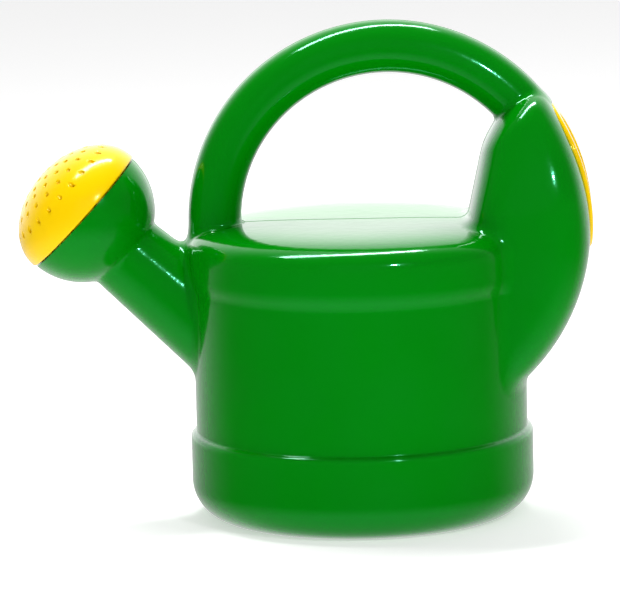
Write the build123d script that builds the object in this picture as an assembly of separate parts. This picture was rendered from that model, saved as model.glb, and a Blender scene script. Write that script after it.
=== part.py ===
from build123d import *
import os
from math import copysign, cos, hypot, pi, radians, sin, sqrt

os.makedirs("parts", exist_ok=True)

# Child's watering can: a blow-moulded shell, a push-fit rose and a snap-in filler collar.
# Millimetres. +Z is up, the spout points to -X and the filler faces +X, and the origin is
# the centre of the base on the ground.

# Shell
WALL = 1.5
ROOT_FILLET = 2.5
PIPE_FILLET = 2.0
HANDLE_ROOT_TOP = 115.0

# Tank: a round drum with a thick band at the foot and a rolled bead under the shoulder
BAND_R = 60.5
BAND_TOP = 28.9
FOOT_R = 13.7
DRUM_R = 58.6
DRUM_TOP = 82.5
BEAD_R = 60.0
BEAD_Z = 89.0
TANK_TOP = 105.2
SHOULDER_FULLNESS = 0.98

# Handle: a tube bent on one large arc
HANDLE_X = 11.0
HANDLE_Z = 105.0
HANDLE_BEND_R = 61.3
HANDLE_TUBE_R = 9.2
HANDLE_FOOT_Z = 92.0
HANDLE_END_DEG = 40.0

# Filler lobe: the handle swells into it, and it runs down into the drum
LOBE_X = 9.3
LOBE_Z = 102.7
LOBE_R = 72.7
LOBE_HALF_DEPTH = 30.0
LOBE_INNER_RHO = 27.0
LOBE_INNER_LEAN_DEG = 12.5
LOBE_WRAP = 0.4
LOBE_DEGREES = (45.4, 44.7, 43.0, 40.5, 37.0, 31.0, 23.0, 12.0, 0.0, -12.0, -24.0, -36.0, -48.0, -59.0)
LOBE_CREASE_DEG = 40.0
LOBE_FLAT_DEG = 5.0
LOBE_CROWN_DEG = 45.8
LOBE_FULL_DEG = 2.0
LOBE_TIP_SHARE = 0.75
LOBE_TOP_RISE = 1.2
LOBE_SQUARENESS = 1.6
SECTION_POINTS = 24

# The moulding is kept as four parts that meet face to face: a drum zone that holds the tank,
# and a plane across the handle just past the lobe's crown
ZONE_R = 62.0
ZONE_TOP = 109.0
HANDLE_SPLIT_DEG = 49.0

# Filler mouth and its collar, an oval let into a seat round the lobe's outer face
MOUTH_DEG = 14.3
SEAT_R = 71.0
SEAT_MARGIN = 0.5
FLANGE_LONG = 26.5
FLANGE_SHORT = 14.0
FLANGE_THICK = 2.5
FLANGE_EDGE_R = 0.9
CLEARING = 8.0
HOLE_LONG = 22.9
HOLE_SHORT = 10.4
NECK_FIT = 0.1
NECK_WALL = 1.6
NECK_DEPTH = 6.5
SNAP_LIP = 0.7
SNAP_HEIGHT = 1.4

# Spout, its cup and the rose
ROSE_X = -96.15
ROSE_Z = 109.25
ROSE_TILT_DEG = 43.4
CUP_R = 25.4
CUP_RISE = 1.0
CUP_BORE_R = 22.55
CUP_BORE_DEPTH = 7.0
SPOUT_X = -82.65
SPOUT_Z = 95.1
SPOUT_FALL_DEG = 41.5
SPOUT_START_R = 14.3
SPOUT_TAPER = 0.0515
SPOUT_LENGTH = 62.0
SPOUT_OVERLAP = 5.0
DOME_R = 25.9
DOME_BASE = 1.5
DOME_RISE = 18.7
DOME_WALL = 1.6
LIP_R = 0.8
SKIRT_R = 22.5
SKIRT_WALL = 1.5
SKIRT_LENGTH = 6.0
SPRAY_HOLE_R = 0.75
SPRAY_RINGS = 5
SPRAY_PITCH = 4.38
SPRAY_SPACING = 5.9


def tank(inset):
    """The drum as a solid of revolution, its outline moved in by inset."""
    band_r = BAND_R - inset
    drum_r = DRUM_R - inset
    bead_r = BEAD_R - inset
    top = TANK_TOP - inset
    step = BAND_R - DRUM_R - inset
    foot = FOOT_R - inset
    foot_x = BAND_R - FOOT_R
    bead_sag = BEAD_R - DRUM_R
    bead_rise = BEAD_Z - DRUM_TOP
    bead_arc_r = (bead_sag ** 2 + bead_rise ** 2) / (2 * bead_sag)
    rise = top - BEAD_Z

    base = Line((0, inset), (foot_x, inset))
    foot_arc = RadiusArc((foot_x, inset), (band_r, FOOT_R), -foot)
    band = Line((band_r, FOOT_R), (band_r, BAND_TOP))
    step_arc = RadiusArc((band_r, BAND_TOP), (DRUM_R, BAND_TOP + step), -step)
    outline = [base, foot_arc, band, step_arc]
    if inset:
        outline.append(Line((DRUM_R, BAND_TOP + step), (drum_r, BAND_TOP + step)))
    outline.append(Line((drum_r, BAND_TOP + step), (drum_r, DRUM_TOP)))
    outline.append(RadiusArc((drum_r, DRUM_TOP), (bead_r, BEAD_Z), -bead_arc_r))
    outline.append(
        Bezier(
            (bead_r, BEAD_Z),
            (bead_r, BEAD_Z + SHOULDER_FULLNESS * rise),
            (SHOULDER_FULLNESS * bead_r, top),
            (0, top),
        )
    )
    outline.append(Line((0, top), (0, inset)))
    return revolve(Plane.XZ * make_face(outline), Axis.Z)


def handle(inset):
    """The handle's tube, from its foot in the shoulder round to the filler lobe."""
    foot_x = HANDLE_X - HANDLE_BEND_R
    leg = Line((foot_x, HANDLE_FOOT_Z - inset), (foot_x, HANDLE_Z))
    bend = CenterArc((HANDLE_X, HANDLE_Z), HANDLE_BEND_R, 180, HANDLE_END_DEG - 180)
    path = Plane.XZ * (leg + bend)
    start = Plane(origin=(foot_x, 0, HANDLE_FOOT_Z - inset), z_dir=(0, 0, 1))
    return sweep(start * Circle(HANDLE_TUBE_R - inset), path=path)


def lobe_section(degrees, inset):
    """One oval slice of the lobe, in a plane through the centre of the handle's bend."""
    direction = Vector(cos(radians(degrees)), 0, sin(radians(degrees)))
    offset = Vector(LOBE_X - HANDLE_X, 0, LOBE_Z - HANDLE_Z)
    along = offset.dot(direction)
    hug = (degrees - LOBE_FLAT_DEG) / (LOBE_CREASE_DEG - LOBE_FLAT_DEG)
    hug = min(max(hug, 0.0), 1.0)
    outer = along + sqrt(LOBE_R ** 2 - offset.length ** 2 + along ** 2) + LOBE_TOP_RISE * hug ** 4
    inner = min(
        LOBE_INNER_RHO / cos(radians(degrees + LOBE_INNER_LEAN_DEG)),
        HANDLE_BEND_R - HANDLE_TUBE_R - LOBE_WRAP,
    )
    fill = (LOBE_CROWN_DEG - degrees) / (LOBE_CROWN_DEG - LOBE_FULL_DEG)
    fill = min(fill, 1.0)
    growth = (1 - (1 - fill) ** 2.2) ** (1 / 2.2)
    past_crease = max((degrees - LOBE_CREASE_DEG) / (LOBE_CROWN_DEG - LOBE_CREASE_DEG), 0.0)
    tip = LOBE_TIP_SHARE + (1 - LOBE_TIP_SHARE) * sqrt(1 - past_crease ** 2)
    start_depth = HANDLE_TUBE_R * LOBE_TIP_SHARE
    half_depth = start_depth + (LOBE_HALF_DEPTH - start_depth) * growth - inset
    half_width = (outer - inner) / 2 * tip - inset
    power = 2 / (2 + LOBE_SQUARENESS * growth)
    points = []
    for step in range(SECTION_POINTS):
        turn = 2 * pi * step / SECTION_POINTS
        across = copysign(abs(cos(turn)) ** power * half_width, cos(turn))
        deep = copysign(abs(sin(turn)) ** power * half_depth, sin(turn))
        points.append((across, deep))
    centre = Vector(HANDLE_X, 0, HANDLE_Z) + direction * ((outer + inner) / 2)
    plane = Plane(origin=centre, x_dir=direction, z_dir=direction.cross(Vector(0, 1, 0)))
    return plane * make_face(Spline(*points, periodic=True))


def lobe(inset):
    """The filler lobe, from the handle's end down into the drum."""
    return loft([lobe_section(degrees, inset) for degrees in LOBE_DEGREES])


def mouth_plane():
    """A plane at the centre of the lobe's outer arc that looks out through the mouth."""
    tilt = radians(MOUTH_DEG)
    return Plane(origin=(LOBE_X, 0, LOBE_Z), x_dir=(0, 1, 0), z_dir=(cos(tilt), 0, sin(tilt)))


def mouth_oval(half_long, half_short, inner_r, outer_r):
    """An oval slug through the lobe's face, between two radii about the lobe's centre."""
    prism = extrude(mouth_plane() * Ellipse(half_short, half_long), LOBE_R * 1.2)
    axis = Plane(origin=(LOBE_X, 0, LOBE_Z), z_dir=(0, 1, 0))
    drum = axis * Cylinder(outer_r, 3 * LOBE_HALF_DEPTH)
    core = axis * Cylinder(inner_r, 3 * LOBE_HALF_DEPTH)
    return prism & (drum - core)


def lobe_radius(point):
    """A point's distance from the axis of the lobe's outer arc."""
    return hypot(point.X - LOBE_X, point.Z - LOBE_Z)


def rose_plane():
    """A plane on the cup's rim that looks out through the rose."""
    tilt = radians(ROSE_TILT_DEG)
    return Plane(origin=(ROSE_X, 0, ROSE_Z), x_dir=(0, 1, 0), z_dir=(-cos(tilt), 0, sin(tilt)))


def cup(inset):
    """The round cup at the spout's end that holds the rose."""
    ball = rose_plane() * Pos(0, 0, CUP_RISE) * Sphere(CUP_R - inset)
    rim = -CUP_BORE_DEPTH if inset else 0
    keep = rose_plane() * Pos(0, 0, rim - CUP_R) * Cylinder(CUP_R, 2 * CUP_R)
    solid = ball & keep
    if inset:
        bore = Pos(0, 0, -CUP_BORE_DEPTH / 2) * Cylinder(CUP_BORE_R, CUP_BORE_DEPTH * 1.5)
        solid += rose_plane() * Pos(0, 0, CUP_BORE_DEPTH / 4) * bore
    return solid


def spout(inset):
    """The tapered pipe from the cup down into the drum."""
    fall = radians(SPOUT_FALL_DEG)
    direction = Vector(cos(fall), 0, -sin(fall))
    start = Vector(SPOUT_X, 0, SPOUT_Z) - direction * SPOUT_OVERLAP
    length = SPOUT_LENGTH + SPOUT_OVERLAP
    start_r = SPOUT_START_R - SPOUT_TAPER * SPOUT_OVERLAP - inset
    end_r = start_r + SPOUT_TAPER * length
    pipe = Cone(start_r, end_r, length, align=(Align.CENTER, Align.CENTER, Align.MIN))
    return Plane(origin=start, z_dir=direction) * pipe


def joined(body, limb, radius, ceiling=2 * TANK_TOP):
    """Body and limb fused, with the crease between them rounded below the ceiling."""
    whole = body + limb
    creases = new_edges(body, limb, combined=whole)
    return fillet([edge for edge in creases if edge.center().Z < ceiling], radius)


def shell():
    """The whole moulding, hollow: tank, handle, filler lobe, spout and cup."""
    outside = joined(tank(0), lobe(0), ROOT_FILLET)
    outside = joined(outside, handle(0), ROOT_FILLET, HANDLE_ROOT_TOP)
    outside = joined(outside, joined(spout(0), cup(0), PIPE_FILLET), PIPE_FILLET)
    seat_long = FLANGE_LONG + SEAT_MARGIN
    seat_short = FLANGE_SHORT + SEAT_MARGIN
    seat = mouth_oval(seat_long, seat_short, SEAT_R, SEAT_R + CLEARING)
    floor = mouth_oval(seat_long + WALL, seat_short + WALL, SEAT_R - WALL, SEAT_R + WALL)
    inside = tank(WALL) + lobe(WALL) + handle(WALL) + spout(WALL) + cup(WALL) - floor
    mouth = mouth_oval(HOLE_LONG, HOLE_SHORT, SEAT_R - CLEARING, SEAT_R)
    return outside - seat - inside - mouth


def shell_parts():
    """The moulding divided into tank, spout with its cup, handle and filler lobe."""
    whole = shell()
    zone = Cylinder(ZONE_R, ZONE_TOP, align=(Align.CENTER, Align.CENTER, Align.MIN))
    turn = radians(HANDLE_SPLIT_DEG)
    across = Plane(origin=(HANDLE_X, 0, HANDLE_Z), z_dir=(-sin(turn), 0, cos(turn)))
    limbs = split(whole - zone, bisect_by=across, keep=Keep.BOTH)
    return [whole & zone] + limbs.solids().sort_by(Axis.X)


def filler_collar():
    """The oval ring that lines the filler mouth and snaps behind the shell's wall."""
    neck_long = HOLE_LONG - NECK_FIT
    neck_short = HOLE_SHORT - NECK_FIT
    face_r = SEAT_R + FLANGE_THICK
    snap_r = SEAT_R - WALL - NECK_FIT
    flange = mouth_oval(FLANGE_LONG, FLANGE_SHORT, SEAT_R, face_r)
    face_edges = [edge for edge in flange.edges() if lobe_radius(edge @ 0.3) > face_r - 0.1]
    ring = fillet(face_edges, FLANGE_EDGE_R)
    ring += mouth_oval(neck_long, neck_short, SEAT_R - NECK_DEPTH, SEAT_R)
    ring += mouth_oval(neck_long + SNAP_LIP, neck_short + SNAP_LIP, snap_r - SNAP_HEIGHT, snap_r)
    return ring - mouth_oval(
        neck_long - NECK_WALL, neck_short - NECK_WALL, SEAT_R - CLEARING, SEAT_R + CLEARING
    )


def rose():
    """The domed sprinkler with its skirt, drilled along its axis in rings."""
    dome_top = DOME_BASE + DOME_RISE
    skirt_in = SKIRT_R - SKIRT_WALL
    inner_r = DOME_R - DOME_WALL
    inner_rise = DOME_RISE - DOME_WALL
    outline = [
        Line((skirt_in, -SKIRT_LENGTH), (SKIRT_R, -SKIRT_LENGTH)),
        Line((SKIRT_R, -SKIRT_LENGTH), (SKIRT_R, 0)),
        Line((SKIRT_R, 0), (DOME_R - LIP_R, 0)),
        RadiusArc((DOME_R - LIP_R, 0), (DOME_R, LIP_R), -LIP_R),
        Line((DOME_R, LIP_R), (DOME_R, DOME_BASE)),
        EllipticalCenterArc((0, DOME_BASE), DOME_R, DOME_RISE, 0, arc_size=90),
        Line((0, dome_top), (0, dome_top - DOME_WALL)),
        EllipticalCenterArc((0, DOME_BASE), inner_r, inner_rise, 0, arc_size=90),
        Line((inner_r, DOME_BASE), (skirt_in, DOME_BASE)),
        Line((skirt_in, DOME_BASE), (skirt_in, -SKIRT_LENGTH)),
    ]
    shell = revolve(Plane.XZ * make_face(outline), Axis.Z)
    drill = Cylinder(SPRAY_HOLE_R, 2 * dome_top)
    drills = [drill]
    for ring in range(1, SPRAY_RINGS + 1):
        radius = ring * SPRAY_PITCH
        count = round(2 * pi * radius / SPRAY_SPACING)
        drills += [
            Rot(0, 0, 360 * (hole + ring / 2) / count) * Pos(radius, 0, dome_top) * drill
            for hole in range(count)
        ]
    return rose_plane() * (shell - drills)


part_names = ("tank", "spout", "handle", "filler_lobe", "filler_collar", "rose")
for name, solid in zip(part_names, shell_parts() + [filler_collar(), rose()], strict=True):
    export_step(solid, f"parts/{name}.step")
    size = solid.bounding_box().size
    print(name, len(solid.solids()), round(solid.volume), [round(side, 1) for side in size])
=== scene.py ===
import bmesh
import bpy
import math
import numpy as np
from mathutils import Matrix, Vector


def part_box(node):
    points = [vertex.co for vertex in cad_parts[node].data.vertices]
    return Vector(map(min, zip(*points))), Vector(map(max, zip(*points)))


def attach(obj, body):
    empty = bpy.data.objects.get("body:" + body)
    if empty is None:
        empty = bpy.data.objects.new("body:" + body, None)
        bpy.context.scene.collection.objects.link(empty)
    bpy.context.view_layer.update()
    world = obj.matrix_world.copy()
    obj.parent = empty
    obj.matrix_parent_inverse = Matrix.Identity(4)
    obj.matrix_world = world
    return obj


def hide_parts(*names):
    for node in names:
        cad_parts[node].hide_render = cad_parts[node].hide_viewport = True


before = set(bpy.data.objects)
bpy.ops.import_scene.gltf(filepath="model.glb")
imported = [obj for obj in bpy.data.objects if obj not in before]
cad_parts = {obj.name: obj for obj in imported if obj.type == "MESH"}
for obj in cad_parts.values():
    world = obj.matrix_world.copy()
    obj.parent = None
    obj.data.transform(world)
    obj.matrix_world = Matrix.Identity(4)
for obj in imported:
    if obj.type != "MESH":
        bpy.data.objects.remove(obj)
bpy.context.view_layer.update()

# The shapes are worked out in millimetres in the CAD's frame and scaled to metres last.
MM = 0.001

# Shell: tank, handle and filler lobe, with the fillets that join them to the spout and cup
WALL = 1.5
ROOT_FILLET = 3.0
PIPE_FILLET = 2.2
SADDLE_FILLET = 8.0
SADDLE_Z = (90.0, 104.0)
CUP_FILLET = 0.9
CREASE_FILLET = 0.6

BAND_R = 60.5
BAND_TOP = 28.9
FOOT_R = 13.7
DRUM_R = 58.6
DRUM_TOP = 82.5
BEAD_R = 60.0
BEAD_Z = 89.0
TANK_TOP = 105.2
SHOULDER_POWER = 5.0

HANDLE_CENTRE = np.array([11.0, 0.0, 105.0])
HANDLE_BEND_R = 61.3
HANDLE_TUBE_R = 9.2
HANDLE_FOOT_Z = 92.0
HANDLE_END_DEG = 36.0

LOBE_CENTRE = np.array([9.3, 0.0, 102.7])
LOBE_R = 72.7
LOBE_HALF_DEPTH = 30.0
LOBE_TOP_NARROWING = 13.0
LOBE_NARROWING_POWER = 1.6
LOBE_TOP_RISE = 1.0
LOBE_RISE_POWER = 4
LOBE_INNER_RHO = 27.0
LOBE_INNER_LEAN_DEG = 12.5
LOBE_LEAN_LIMIT_DEG = 80.0
LOBE_WRAP = 0.4
LOBE_FLAT_DEG = 5.0
LOBE_CREASE_DEG = 41.5
LOBE_CROWN_DEG = 35.0
LOBE_CROWN_SPAN_DEG = 8.4
LOBE_FOOT_DEG = -60.0
LOBE_POWER = 3.6
LOBE_CROWN_POWER = 2.3
LOBE_START_X = 26.0

# Filler mouth in the lobe's outer face, and the collar that lines it
MOUTH_DEG = 14.3
SEAT_R = 71.0
SEAT_MARGIN = 0.5
FLANGE_LONG = 26.5
FLANGE_SHORT = 14.0
SEAT_LONG = FLANGE_LONG + SEAT_MARGIN
SEAT_SHORT = FLANGE_SHORT + SEAT_MARGIN
FLANGE_THICK = 2.5
FLANGE_EDGE_R = 0.9
FLANGE_BACK_EDGE_R = 0.15
HOLE_LONG = 22.9
HOLE_SHORT = 10.4
NECK_FIT = 0.1
NECK_WALL = 1.6
NECK_DEPTH = 6.5
NECK_OVERLAP = 1.0
NECK_EDGE_R = 0.2
SNAP_LIP = 0.7
SNAP_HEIGHT = 1.4
COLLAR_NEAREST = 20.0
CLEARING = 8.0

# Rose, the cup that holds it and the spout behind them
ROSE_CENTRE = np.array([-96.15, 0.0, 109.25])
ROSE_TILT_DEG = 43.4
CUP_R = 25.4
CUP_RISE = 1.0
CUP_BORE_R = 22.55
CUP_BORE_DEPTH = 7.5
RIM_CUTTER_R = 1.3 * CUP_R
SPOUT_START = np.array([-82.65, 0.0, 95.1])
SPOUT_FALL_DEG = 41.5
SPOUT_START_R = 14.3
SPOUT_TAPER = 0.0515
SPOUT_OVERLAP = 5.0
SPOUT_LENGTH = 62.0

DOME_R = 25.9
DOME_BASE = 1.5
DOME_RISE = 18.7
DOME_WALL = 1.6
LIP_R = 0.8
RIM_GAP = 0.4
SKIRT_R = 22.5
SKIRT_WALL = 1.5
SKIRT_LENGTH = 6.0
ROSE_EDGE_R = 0.2
SPRAY_HOLE_R = 0.75
SPRAY_RINGS = 5
SPRAY_PITCH = 4.38
SPRAY_SPACING = 5.9
SPRAY_EDGE_R = 0.15

# Parting line of the mould, a fine flash all round the middle plane, fainter on the drum's side
FLASH_HEIGHT = 0.14
FLASH_HALF_WIDTH = 0.42
FLASH_WORN = 0.25
FLASH_Z = (96.0, 102.0)

# Grids for the meshes. The skin's is finer at the seam, the foot band and the bead
SHELL_X = (-124.0, 87.0)
SKIN_Y = (-63.15, 63.0)
SKIN_Z = (-2.2, 179.0)
SKIN_STEP = 1.55
FINE_STEP = 0.6
SEAM_SPAN = (-1.2, 1.2)
SEAM_STEP = 0.3
BAND_SPAN = (27.5, 32.5)
BEAD_SPAN = (80.5, 84.5)
LINING_Y = (-63.0, 63.0)
LINING_Z = (-2.0, 179.0)
LINING_STEP = 2.7
ROSE_SPAN = (-27.1, 27.0)
ROSE_HEIGHTS = (-7.1, 21.5)
COLLAR_MARGIN = 1.3
TRIM_STEP = 0.5

# How deep the tank's and the lobe's fields reach, and how near its field's zero a vertex lies
DEEP = 8.0
ON_SURFACE = 0.05


# ---------------------------------------------------------------- fields and meshes from them
# A field gives each point's distance to a surface, negative inside. It takes and returns
# arrays, and is exact or near enough within a few millimetres of the surface.

def joined(a, b, radius):
    """Two fields as one body, with a fillet of that radius in the crease between them."""
    corner = np.hypot(np.maximum(radius - a, 0), np.maximum(radius - b, 0))
    return np.maximum(radius, np.minimum(a, b)) - corner


def common(a, b, radius):
    """What two fields share, with its new edge rounded to that radius."""
    return -joined(-a, -b, radius)


def gradient(field, points, step=0.05):
    """A field's rate of change along x, y and z by central differences."""
    slopes = []
    for axis in range(3):
        shift = np.zeros(3)
        shift[axis] = step
        slopes.append((field(points + shift) - field(points - shift)) / (2 * step))
    return np.stack(slopes, axis=-1)


def as_distance(field, points):
    """A field of any scale, turned into distance by its slope."""
    slope = np.linalg.norm(gradient(field, points), axis=-1)
    return field(points) / np.maximum(slope, 1e-6)


def grid_lines(low, high, step, fine_spans=(), fine_step=FINE_STEP):
    """Grid coordinates from low to high, closer together inside the fine spans."""
    lines = [low]
    while lines[-1] < high:
        inside = any(start <= lines[-1] < end for start, end in fine_spans)
        lines.append(lines[-1] + (fine_step if inside else step))
    return np.array(lines)


def surface_of(field, lines):
    """Vertices and outward quads where a field is zero, one vertex in each grid cell it crosses."""
    grid = np.stack(np.meshgrid(*lines, indexing="ij"), axis=-1)
    value = np.stack([field(slab) for slab in grid])
    inside = value < 0
    strides = np.array([value.shape[1] * value.shape[2], value.shape[2], 1])
    cell_parts, point_parts, quad_parts = [], [], []
    for axis in range(3):
        low = [slice(None)] * 3
        high = [slice(None)] * 3
        low[axis] = slice(0, -1)
        high[axis] = slice(1, None)
        low, high = tuple(low), tuple(high)
        found = np.argwhere(inside[low] != inside[high])
        ahead = found.copy()
        ahead[:, axis] += 1
        near, far = value[tuple(found.T)], value[tuple(ahead.T)]
        share = (near / (near - far))[:, None]
        start, end = grid[tuple(found.T)], grid[tuple(ahead.T)]
        crossing = start + share * (end - start)
        second, third = strides[(axis + 1) % 3], strides[(axis + 2) % 3]
        home = found @ strides
        ring = np.stack([home - second - third, home - third, home, home - second], axis=1)
        cell_parts.append(ring.ravel())
        point_parts.append(np.repeat(crossing, 4, axis=0))
        leaving = near < far
        quad_parts.append(np.where(leaving[:, None], ring, ring[:, ::-1]))
    cells, slot = np.unique(np.concatenate(cell_parts), return_inverse=True)
    points = np.concatenate(point_parts)
    count = np.bincount(slot, minlength=len(cells))[:, None]
    sums = np.stack([np.bincount(slot, points[:, i], len(cells)) for i in range(3)], axis=1)
    quads = np.searchsorted(cells, np.concatenate(quad_parts))
    return settled(field, sums / count), quads


def settled(field, points, rounds=4, reach=0.8):
    """Points moved along a field's slope until they lie on its surface."""
    for _ in range(rounds):
        slope = gradient(field, points)
        step = field(points)[:, None] * slope / np.maximum((slope ** 2).sum(1), 1e-6)[:, None]
        length = np.linalg.norm(step, axis=1, keepdims=True)
        points = points - step * np.minimum(1, reach / np.maximum(length, 1e-9))
    return points


def linked(name, data):
    """A new object in the scene that holds a mesh, a light or a camera."""
    made = bpy.data.objects.new(name, data)
    bpy.context.scene.collection.objects.link(made)
    return made


def mesh_object(name, points, faces, placed=None):
    """A new object from points in millimetres, optionally turned and moved into place."""
    mesh = bpy.data.meshes.new(name)
    located = points if placed is None else points @ placed[0] + placed[1]
    mesh.from_pydata((located * MM).tolist(), [], faces.tolist())
    mesh.update()
    return linked(name, mesh)


def shade_by_fields(made, fields, placed=None, agree=0.7):
    """Exact normals from whichever field each corner lies on, and flat ones across sharp edges."""
    mesh = made.data
    mesh.shade_smooth()
    points = np.zeros(len(mesh.vertices) * 3)
    mesh.vertices.foreach_get("co", points)
    points = points.reshape(-1, 3) / MM
    if placed is not None:
        points = (points - placed[1]) @ placed[0].T
    corners = np.zeros(len(mesh.loops), int)
    mesh.loops.foreach_get("vertex_index", corners)
    flat = np.zeros(len(mesh.polygons) * 3)
    mesh.polygons.foreach_get("normal", flat)
    sizes = np.zeros(len(mesh.polygons), int)
    mesh.polygons.foreach_get("loop_total", sizes)
    flat = np.repeat(flat.reshape(-1, 3), sizes, axis=0)
    chosen = flat.copy()
    for field in fields:
        near = np.abs(field(points)) < ON_SURFACE
        slope = np.zeros_like(points)
        slope[near] = gradient(field, points[near])
        slope /= np.maximum(np.linalg.norm(slope, axis=1, keepdims=True), 1e-9)
        if placed is not None:
            slope = slope @ placed[0]
        exact = slope[corners]
        use = near[corners] & ((exact * flat).sum(1) > agree)
        chosen[use] = exact[use]
    mesh.normals_split_custom_set(chosen.tolist())


def turned(origin, forward):
    """Axes and origin for a shape made about its own z axis: rows are side, Y and forward."""
    side = np.cross([0.0, 1.0, 0.0], forward)
    return np.array([side, [0.0, 1.0, 0.0], forward]), origin


def direction(degrees):
    """A unit vector in the middle plane, at an angle above +X."""
    return np.array([math.cos(math.radians(degrees)), 0.0, math.sin(math.radians(degrees))])


MOUTH_FACING = direction(MOUTH_DEG)
MOUTH_UPWARD = direction(MOUTH_DEG + 90)
ROSE_FORWARD = direction(180 - ROSE_TILT_DEG)
ROSE_PLACE = turned(ROSE_CENTRE, ROSE_FORWARD)


# ---------------------------------------------------------------- the shell's fields
def rounded_slab(radius, z, half_width, low, high, low_round, high_round):
    """A disc from low to high with different roundings at its lower and upper edge."""
    below = z < low + low_round
    edge = np.where(below, low_round, high_round)
    level = np.where(below, low + low_round - z, z - (high - high_round))
    across = radius - (half_width - edge)
    outside = np.hypot(np.maximum(across, 0), np.maximum(level, 0))
    return outside + np.minimum(np.maximum(across, level), 0) - edge


def superellipse(u, v, half_u, half_v, power):
    """Distance to a squared-off ellipse, close to its outline."""
    a = np.abs(u) / half_u
    b = np.abs(v) / half_v
    size = np.maximum((a ** power + b ** power) ** (1 / power), 1e-3)
    slope = np.hypot((a / size) ** (power - 1) / half_u, (b / size) ** (power - 1) / half_v)
    return (size - 1) / slope


def tank(points):
    """The drum with its foot band, the bead and the shoulder."""
    radius = np.hypot(points[..., 0], points[..., 1])
    z = points[..., 2]
    step = BAND_R - DRUM_R
    band = rounded_slab(radius, z, BAND_R, 0.0, BAND_TOP + step, FOOT_R, step)
    drum = np.maximum(radius - DRUM_R, np.maximum(FOOT_R - z, z - BEAD_Z))
    bead_rise = BEAD_Z - DRUM_TOP
    bead_arc_r = ((BEAD_R - DRUM_R) ** 2 + bead_rise ** 2) / (2 * (BEAD_R - DRUM_R))
    bead = np.hypot(radius - (BEAD_R - bead_arc_r), z - BEAD_Z) - bead_arc_r
    rise = TANK_TOP - BEAD_Z
    shoulder = superellipse(radius, np.maximum(z - BEAD_Z, 0), BEAD_R, rise, SHOULDER_POWER)
    rolled = np.maximum(np.where(z < BEAD_Z, bead, shoulder), -DEEP)
    return joined(joined(band, drum, CREASE_FILLET), rolled, CREASE_FILLET)


def handle(points):
    """The round tube, bent on one arc with a short straight foot."""
    x = points[..., 0] - HANDLE_CENTRE[0]
    z = points[..., 2] - HANDLE_CENTRE[2]
    arc = np.hypot(x, z) - HANDLE_BEND_R
    leg = np.hypot(x + HANDLE_BEND_R, np.minimum(z + HANDLE_CENTRE[2] - HANDLE_FOOT_Z, 0))
    angle = np.degrees(np.arctan2(z, x))
    end = direction(HANDLE_END_DEG) * HANDLE_BEND_R
    capped = np.hypot(x - end[0], z - end[2])
    across = np.where(angle >= HANDLE_END_DEG, np.abs(arc), np.minimum(leg, capped))
    return np.hypot(across, points[..., 1]) - HANDLE_TUBE_R


def lobe_size(points):
    """0 on the lobe's surface, negative inside, but not in millimetres.

    It is an oval slice about the handle's centre, and its size and power change with the angle.
    """
    x = points[..., 0] - HANDLE_CENTRE[0]
    z = points[..., 2] - HANDLE_CENTRE[2]
    rho = np.hypot(x, z)
    angle = np.degrees(np.arctan2(z, x))
    offset = LOBE_CENTRE - HANDLE_CENTRE
    along = (offset[0] * x + offset[2] * z) / np.maximum(rho, 1e-6)
    hug = np.clip((angle - LOBE_FLAT_DEG) / (LOBE_CREASE_DEG - LOBE_FLAT_DEG), 0, 1)
    circle = along + np.sqrt(LOBE_R ** 2 - (offset ** 2).sum() + along ** 2)
    outer = circle + LOBE_TOP_RISE * hug ** LOBE_RISE_POWER
    top_inner = HANDLE_BEND_R - HANDLE_TUBE_R - LOBE_WRAP
    lean_deg = np.clip(angle + LOBE_INNER_LEAN_DEG, -LOBE_LEAN_LIMIT_DEG, LOBE_LEAN_LIMIT_DEG)
    lean = np.radians(lean_deg)
    inner = np.minimum(LOBE_INNER_RHO / np.cos(lean), top_inner)
    half_depth = LOBE_HALF_DEPTH - LOBE_TOP_NARROWING * hug ** LOBE_NARROWING_POWER
    crown = np.maximum(angle - LOBE_CROWN_DEG, 0) / LOBE_CROWN_SPAN_DEG
    foot = np.maximum(LOBE_FOOT_DEG - angle, 0) / LOBE_CROWN_SPAN_DEG
    across = np.abs(rho - (outer + inner) / 2) / ((outer - inner) / 2)
    deep = np.abs(points[..., 1]) / half_depth
    power = LOBE_POWER + (LOBE_CROWN_POWER - LOBE_POWER) * hug ** 2
    total = across ** power + deep ** power + crown ** power + foot ** power
    return total ** (1 / power) - 1


def lobe(points):
    """The filler lobe between the handle's end and the drum's wall."""
    distance = np.full(points.shape[:-1], 2.0 * DEEP)
    near = points[..., 0] > LOBE_START_X
    if near.any():
        distance[near] = as_distance(lobe_size, points[near])
    return np.maximum(distance, -DEEP)


def mouth_oval(points, half_long, half_short, inner_r, outer_r):
    """An oval slug that faces out of the lobe, between two radii about the lobe's centre."""
    away = points - LOBE_CENTRE
    oval = superellipse(away @ MOUTH_UPWARD, away[..., 1], half_long, half_short, 2)
    radius = np.hypot(away[..., 0], away[..., 2])
    ends = np.maximum(radius - outer_r, inner_r - radius)
    return np.maximum(np.maximum(oval, ends), -(away @ MOUTH_FACING))


def spout(points):
    """The tapered pipe from the cup down into the drum."""
    fall = direction(-SPOUT_FALL_DEG)
    away = points - SPOUT_START
    along = away @ fall
    radius = np.linalg.norm(away - along[..., None] * fall, axis=-1)
    side = (radius - SPOUT_START_R - SPOUT_TAPER * along) * math.cos(math.atan(SPOUT_TAPER))
    ends = np.maximum(-SPOUT_OVERLAP - along, along - SPOUT_LENGTH)
    return np.maximum(side, ends)


def cup(points):
    """The ball at the spout's end. It is cut open at the rim later."""
    centre = ROSE_CENTRE + CUP_RISE * ROSE_FORWARD
    return np.linalg.norm(points - centre, axis=-1) - CUP_R


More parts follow.
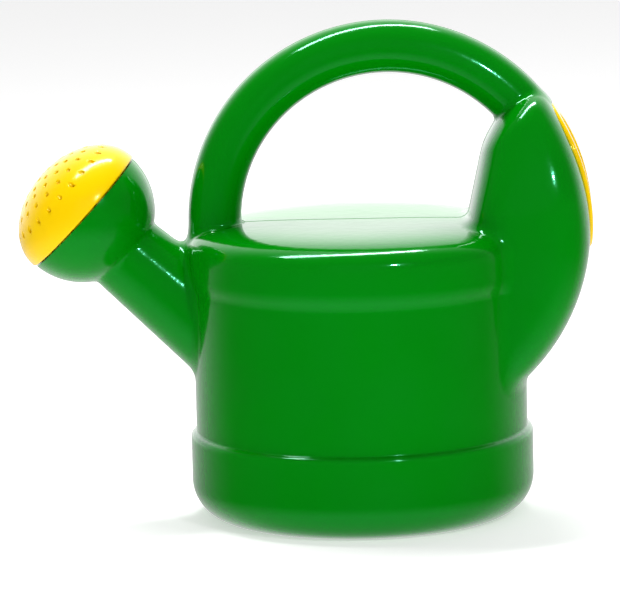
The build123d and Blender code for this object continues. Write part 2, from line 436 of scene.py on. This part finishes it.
def rise_over(height, span):
    """0 below a span of heights, 1 above it and a straight line between."""
    return np.clip((height - span[0]) / (span[1] - span[0]), 0, 1)


def plain_shell(points):
    """The shell's outside without the parting line."""
    body = joined(tank(points), lobe(points), ROOT_FILLET)
    body = joined(body, handle(points), ROOT_FILLET / 2)
    pipe = joined(spout(points), cup(points), CUP_FILLET)
    saddle = PIPE_FILLET + (SADDLE_FILLET - PIPE_FILLET) * rise_over(points[..., 2], SADDLE_Z)
    return joined(body, pipe, saddle)


def skin(points):
    """The shell's outside."""
    flash = np.maximum(1 - np.abs(points[..., 1]) / FLASH_HALF_WIDTH, 0)
    sharp = FLASH_WORN + (1 - FLASH_WORN) * rise_over(points[..., 2], FLASH_Z)
    return plain_shell(points) - FLASH_HEIGHT * sharp * flash


def lining(points):
    """The shell's inside, which stands clear of the seat by the wall's thickness."""
    seat = mouth_oval(points, SEAT_LONG + WALL, SEAT_SHORT + WALL, SEAT_R - WALL, SEAT_R + CLEARING)
    return common(plain_shell(points) + WALL, -seat, WALL)


def inside_out(points):
    """The lining as the shell's own surface, with the plastic on its negative side."""
    return -lining(points)


# ---------------------------------------------------------------- cutters for cup, seat and mouth
def ring_solid(name, rings):
    """A closed solid from rings of points in millimetres, with flat faces over both ends."""
    mesh = bmesh.new()
    levels = [[mesh.verts.new(point * MM) for point in ring] for ring in rings]
    for lower, upper in zip(levels, levels[1:]):
        for turn in range(len(lower)):
            after = (turn + 1) % len(lower)
            mesh.faces.new([lower[turn], lower[after], upper[after], upper[turn]])
    mesh.faces.new(levels[0][::-1])
    mesh.faces.new(levels[-1])
    bmesh.ops.recalc_face_normals(mesh, faces=mesh.faces)
    data = bpy.data.meshes.new(name)
    mesh.to_mesh(data)
    mesh.free()
    return linked(name, data)


def lathe_cutter(name, outline, placed, turns=128):
    """A solid of revolution: outline is radius and height off the axis, from end to end."""
    angles = np.linspace(0, 2 * math.pi, turns, endpoint=False)
    rings = [np.stack([r * np.cos(angles), r * np.sin(angles), np.full(turns, h)], 1)
             for r, h in outline]
    return ring_solid(name, [ring @ placed[0] + placed[1] for ring in rings])


def oval_cutter(name, half_long, half_short, inner_r, outer_r, turns=128, steps=16):
    """An oval bar through the lobe's wall, with its inner end bent about the lobe's centre."""
    rings = []
    for share, radius in [(k / steps, inner_r) for k in range(1, steps + 1)] + [(1.0, outer_r)]:
        ring = []
        for turn in range(turns):
            angle = 2 * math.pi * turn / turns
            along = share * half_long * math.sin(angle)
            across = np.array([0.0, share * half_short * math.cos(angle), 0.0])
            reach = math.sqrt(radius ** 2 - along ** 2)
            ring.append(LOBE_CENTRE + reach * MOUTH_FACING + along * MOUTH_UPWARD + across)
        rings.append(ring)
    return ring_solid(name, rings)


def cut(body, *cutters):
    """Takes the cutters out of the body, applies that and removes them."""
    for cutter in cutters:
        modifier = body.modifiers.new("cut", "BOOLEAN")
        modifier.operation = "DIFFERENCE"
        modifier.solver = "MANIFOLD"
        modifier.object = cutter
    bpy.context.view_layer.update()
    graph = bpy.context.evaluated_depsgraph_get()
    result = bpy.data.meshes.new_from_object(body.evaluated_get(graph))
    body.modifiers.clear()
    body.data = result
    for cutter in cutters:
        bpy.data.objects.remove(cutter)


def make_shell():
    """The hollow green shell: its outside and its lining, cut open at the cup and the mouth."""
    skin_lines = (
        grid_lines(*SHELL_X, SKIN_STEP),
        grid_lines(*SKIN_Y, SKIN_STEP, [SEAM_SPAN], SEAM_STEP),
        grid_lines(*SKIN_Z, SKIN_STEP, [BAND_SPAN, BEAD_SPAN]),
    )
    lining_lines = [grid_lines(*span, LINING_STEP) for span in (SHELL_X, LINING_Y, LINING_Z)]
    outside, outside_faces = surface_of(skin, skin_lines)
    inside, inside_faces = surface_of(lining, lining_lines)
    points = np.concatenate([outside, inside])
    faces = np.concatenate([outside_faces, inside_faces[:, ::-1] + len(outside)])
    body = mesh_object("watering_can_shell", points, faces)
    bore = [
        (CUP_BORE_R, -CUP_BORE_DEPTH),
        (CUP_BORE_R, 0),
        (RIM_CUTTER_R, 0),
        (RIM_CUTTER_R, RIM_CUTTER_R),
    ]
    mouth_inner_r = SEAT_R - 2 * CLEARING
    cut(body,
        lathe_cutter("cup_cutter", bore, ROSE_PLACE),
        oval_cutter("seat_cutter", SEAT_LONG, SEAT_SHORT, SEAT_R, SEAT_R + CLEARING),
        oval_cutter("mouth_cutter", HOLE_LONG, HOLE_SHORT, mouth_inner_r, SEAT_R + CLEARING))
    shade_by_fields(body, [skin, inside_out])
    return body


# ---------------------------------------------------------------- rose and collar
def rose_field(points):
    """The rose about its own axis: dome, rim and skirt, with the spray holes through it."""
    radius = np.hypot(points[..., 0], points[..., 1])
    height = points[..., 2]
    above = np.maximum(height - DOME_BASE, 0)
    dome = superellipse(radius, above, DOME_R, DOME_RISE, 2)
    dome = common(dome, RIM_GAP - height, LIP_R)
    hollow = superellipse(radius, above, DOME_R - DOME_WALL, DOME_RISE - DOME_WALL, 2)
    hollow = np.maximum(hollow, DOME_BASE - height)
    bore = np.maximum(radius - (SKIRT_R - SKIRT_WALL), height - 2 * DOME_BASE)
    skirt = np.maximum(radius - SKIRT_R, np.maximum(-SKIRT_LENGTH - height, height - DOME_BASE))
    body = np.minimum(dome, skirt)
    body = common(body, -np.minimum(hollow, bore), ROSE_EDGE_R)
    return common(body, -spray_holes(points), SPRAY_EDGE_R)


def spray_holes(points):
    """Distance to the nearest spray hole's wall, negative inside the hole.

    The holes have no ends along the axis, so the outermost ring's run on through the skirt.
    """
    radius = np.hypot(points[..., 0], points[..., 1])
    angle = np.arctan2(points[..., 1], points[..., 0])
    nearest = radius
    for ring in range(1, SPRAY_RINGS + 1):
        ring_r = ring * SPRAY_PITCH
        count = round(2 * math.pi * ring_r / SPRAY_SPACING)
        pitch = 2 * math.pi / count
        start = pitch * ring / 2
        turn = (angle - start + pitch / 2) % pitch - pitch / 2
        squared = radius ** 2 + ring_r ** 2 - 2 * radius * ring_r * np.cos(turn)
        nearest = np.minimum(nearest, np.sqrt(np.maximum(squared, 0)))
    return nearest - SPRAY_HOLE_R


def make_rose():
    """The yellow rose, turned to face out of the cup."""
    lines = [grid_lines(*span, TRIM_STEP) for span in (ROSE_SPAN, ROSE_SPAN, ROSE_HEIGHTS)]
    points, faces = surface_of(rose_field, lines)
    made = mesh_object("sprinkler_rose", points, faces, ROSE_PLACE)
    shade_by_fields(made, [rose_field], ROSE_PLACE)
    return made


def collar_field(points):
    """The collar: flange on the lobe's face, neck through the wall and the snap lip behind."""
    neck_long = HOLE_LONG - NECK_FIT
    neck_short = HOLE_SHORT - NECK_FIT
    away = points - LOBE_CENTRE
    along, across = away @ MOUTH_UPWARD, away[..., 1]
    radius = np.hypot(away[..., 0], away[..., 2])

    def ring(long, short, low, high, edge):
        side = superellipse(along, across, long, short, 2)
        return common(common(side, radius - high, edge), low - radius, FLANGE_BACK_EDGE_R)

    snap_r = SEAT_R - WALL - NECK_FIT
    flange = ring(FLANGE_LONG, FLANGE_SHORT, SEAT_R, SEAT_R + FLANGE_THICK, FLANGE_EDGE_R)
    neck = ring(neck_long, neck_short, SEAT_R - NECK_DEPTH, SEAT_R + NECK_OVERLAP, NECK_EDGE_R)
    lip = ring(neck_long + SNAP_LIP, neck_short + SNAP_LIP,
               snap_r - SNAP_HEIGHT, snap_r, NECK_EDGE_R)
    bore = superellipse(along, across, neck_long - NECK_WALL, neck_short - NECK_WALL, 2)
    solid = np.minimum(np.minimum(flange, neck), lip)
    return np.maximum(common(solid, -bore, FLANGE_EDGE_R), COLLAR_NEAREST - away @ MOUTH_FACING)


def make_collar():
    """The yellow filler collar."""
    low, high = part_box("filler_collar")
    lines = [grid_lines(start / MM - COLLAR_MARGIN, end / MM + COLLAR_MARGIN, TRIM_STEP)
             for start, end in zip(low, high)]
    points, faces = surface_of(collar_field, lines)
    made = mesh_object("filler_mouth_collar", points, faces)
    shade_by_fields(made, [collar_field])
    return made


# ---------------------------------------------------------------- materials
def node(tree, kind, **settings):
    """A new shader node with some of its properties set."""
    made = tree.nodes.new(kind)
    for name, value in settings.items():
        setattr(made, name, value)
    return made


def glossy_plastic(name, colour, darker, sheen_tint, roughness):
    """Blow-moulded polyethylene: slight mottling, orange peel, and faint rubbed patches."""
    material = bpy.data.materials.new(name)
    material.use_nodes = True
    tree = material.node_tree
    shader = tree.nodes["Principled BSDF"]
    place = node(tree, "ShaderNodeTexCoord")

    mottle = node(tree, "ShaderNodeTexNoise")
    mottle.inputs["Scale"].default_value = 22.0
    mottle.inputs["Detail"].default_value = 4.0
    tone = node(tree, "ShaderNodeMix", data_type="RGBA")
    tone.inputs["A"].default_value = (*darker, 1)
    tone.inputs["B"].default_value = (*colour, 1)
    tree.links.new(place.outputs["Object"], mottle.inputs["Vector"])
    tree.links.new(mottle.outputs["Fac"], tone.inputs["Factor"])
    tree.links.new(tone.outputs["Result"], shader.inputs["Base Color"])

    rub = node(tree, "ShaderNodeTexNoise")
    rub.inputs["Scale"].default_value = 60.0
    rub.inputs["Detail"].default_value = 6.0
    polish = node(tree, "ShaderNodeMapRange")
    polish.inputs["From Min"].default_value = 0.35
    polish.inputs["From Max"].default_value = 0.75
    polish.inputs["To Min"].default_value = roughness
    polish.inputs["To Max"].default_value = roughness + 0.07
    tree.links.new(place.outputs["Object"], rub.inputs["Vector"])
    tree.links.new(rub.outputs["Fac"], polish.inputs["Value"])
    tree.links.new(polish.outputs["Result"], shader.inputs["Roughness"])

    peel = node(tree, "ShaderNodeTexNoise")
    peel.inputs["Scale"].default_value = 320.0
    peel.inputs["Detail"].default_value = 2.0
    bump = node(tree, "ShaderNodeBump")
    bump.inputs["Strength"].default_value = 0.12
    bump.inputs["Distance"].default_value = 0.0004
    tree.links.new(place.outputs["Object"], peel.inputs["Vector"])
    tree.links.new(peel.outputs["Fac"], bump.inputs["Height"])
    tree.links.new(bump.outputs["Normal"], shader.inputs["Normal"])

    shader.inputs["IOR"].default_value = 1.5
    shader.inputs["Specular Tint"].default_value = (*sheen_tint, 1)
    shader.inputs["Coat Weight"].default_value = 0.15
    shader.inputs["Coat Roughness"].default_value = 0.03
    return material


# ---------------------------------------------------------------- assembly
def dress(piece, material, body, slot, *cad_nodes):
    """Gives a piece its material, the body it rides with and the CAD nodes it stands for."""
    piece.data.materials.clear()
    piece.data.materials.append(material)
    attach(piece, body)
    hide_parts(*cad_nodes)


green = glossy_plastic(
    "green_plastic",
    colour=(0.0, 0.215, 0.0015),
    darker=(0.0, 0.19, 0.001),
    sheen_tint=(0.2, 1.0, 0.62),
    roughness=0.1,
)
yellow = glossy_plastic(
    "yellow_plastic",
    colour=(0.96, 0.64, 0.0),
    darker=(0.93, 0.58, 0.0),
    sheen_tint=(1.0, 0.9, 0.3),
    roughness=0.14,
)

dress(make_shell(), green, "can", "green_shell", "tank", "handle", "filler_lobe", "spout")
dress(make_rose(), yellow, "rose", "yellow_rose", "rose")
dress(make_collar(), yellow, "can", "yellow_collar", "filler_collar")


# ---------------------------------------------------------------- stage, light and camera
# From here on sizes are in metres.
FLOOR_HALF = 6.0
LIT_POINT = Vector((0, 0, 0.08))
CAMERA_PLACE = (0.0485, -2.2, 0.453)
CAMERA_YAW_DEG = 1.715
CAMERA_PITCH_DEG = 80.34
CAMERA_ROLL_DEG = -1.352
CAMERA_LENS_MM = 367.1


def make_stage():
    """A wide pale floor. It doesn't mirror in the can, so the plastic keeps its full colour."""
    mesh = bpy.data.meshes.new("floor")
    corners = [(x * FLOOR_HALF, y * FLOOR_HALF, 0) for x, y in ((-1, -1), (1, -1), (1, 1), (-1, 1))]
    mesh.from_pydata(corners, [], [(0, 1, 2, 3)])
    floor = linked("floor", mesh)
    material = bpy.data.materials.new("pale_floor")
    material.use_nodes = True
    shader = material.node_tree.nodes["Principled BSDF"]
    shader.inputs["Base Color"].default_value = (0.78, 0.78, 0.78, 1)
    shader.inputs["Roughness"].default_value = 0.8
    shader.inputs["Specular IOR Level"].default_value = 0.0
    shader.inputs["Emission Color"].default_value = (1.0, 1.0, 1.0, 1)
    shader.inputs["Emission Strength"].default_value = 0.5
    mesh.materials.append(material)
    floor.visible_glossy = False


def area_light(name, place, size, power):
    """A rectangular softbox that faces the can."""
    light = bpy.data.lights.new(name, "AREA")
    light.shape = "RECTANGLE"
    light.size, light.size_y = size
    light.energy = power
    made = linked(name, light)
    made.location = place
    made.rotation_euler = (LIT_POINT - Vector(place)).to_track_quat("-Z", "Y").to_euler()
    return made


def ramp(tree, value, span, results, smooth=False):
    """A value that runs between two results while its input runs over a span."""
    made = node(tree, "ShaderNodeMapRange")
    if smooth:
        made.interpolation_type = "SMOOTHSTEP"
    for name, limit in zip(("From Min", "From Max", "To Min", "To Max"), (*span, *results)):
        made.inputs[name].default_value = limit
    tree.links.new(value, made.inputs["Value"])
    return made.outputs["Result"]


def make_world():
    """A white backdrop. Its light on the can is strong behind it, weak in front, and some comes
    from below in place of the floor's reflection."""
    world = bpy.data.worlds.new("studio")
    bpy.context.scene.world = world
    world.use_nodes = True
    tree = world.node_tree
    back = tree.nodes["Background"]
    back.inputs["Color"].default_value = (1.0, 1.0, 1.0, 1)
    place = node(tree, "ShaderNodeTexCoord")
    split = node(tree, "ShaderNodeSeparateXYZ")
    ray = node(tree, "ShaderNodeLightPath")
    tree.links.new(place.outputs["Generated"], split.inputs["Vector"])
    behind = ramp(tree, split.outputs["Y"], (0.05, 1.1), (0.12, 1.8), smooth=True)
    level = ramp(tree, split.outputs["Z"], (-0.2, 0.0), (0.4, 1.0))
    below = ramp(tree, split.outputs["Z"], (-0.65, -0.3), (0.55, 0.0))
    total = node(tree, "ShaderNodeMath", operation="MULTIPLY_ADD")
    strength = node(tree, "ShaderNodeMix", data_type="FLOAT")
    strength.inputs["B"].default_value = 1.0
    for source, target in ((behind, total.inputs[0]), (level, total.inputs[1]),
                           (below, total.inputs[2]),
                           (total.outputs["Value"], strength.inputs["A"]),
                           (ray.outputs["Is Camera Ray"], strength.inputs["Factor"]),
                           (strength.outputs["Result"], back.inputs["Strength"])):
        tree.links.new(source, target)


def make_lights():
    """A softbox overhead, a small key to the right, and a broad fill that shows no glint."""
    area_light("top_softbox", place=(-0.12, 0.2, 0.9), size=(0.8, 0.1), power=9)
    area_light("key_softbox", place=(0.5, -1.0, 0.68), size=(0.06, 0.06), power=4)
    fill = area_light("fill_softbox", place=(0, -1.6, 0.7), size=(1.2, 1.0), power=7.8)
    fill.visible_glossy = False


def make_camera():
    """A long lens over two metres away, slightly above, with a small roll."""
    camera = bpy.data.cameras.new("camera")
    camera.lens = CAMERA_LENS_MM
    camera.sensor_width = 36.0
    camera.clip_start = 0.05
    camera.clip_end = 50.0
    made = linked("camera", camera)
    yaw = Matrix.Rotation(math.radians(CAMERA_YAW_DEG), 4, "Z")
    pitch = Matrix.Rotation(math.radians(CAMERA_PITCH_DEG), 4, "X")
    roll = Matrix.Rotation(math.radians(CAMERA_ROLL_DEG), 4, "Z")
    made.matrix_world = Matrix.Translation(CAMERA_PLACE) @ yaw @ pitch @ roll
    bpy.context.scene.camera = made


make_stage()
make_world()
make_lights()
make_camera()
bpy.context.scene.view_settings.view_transform = "Standard"
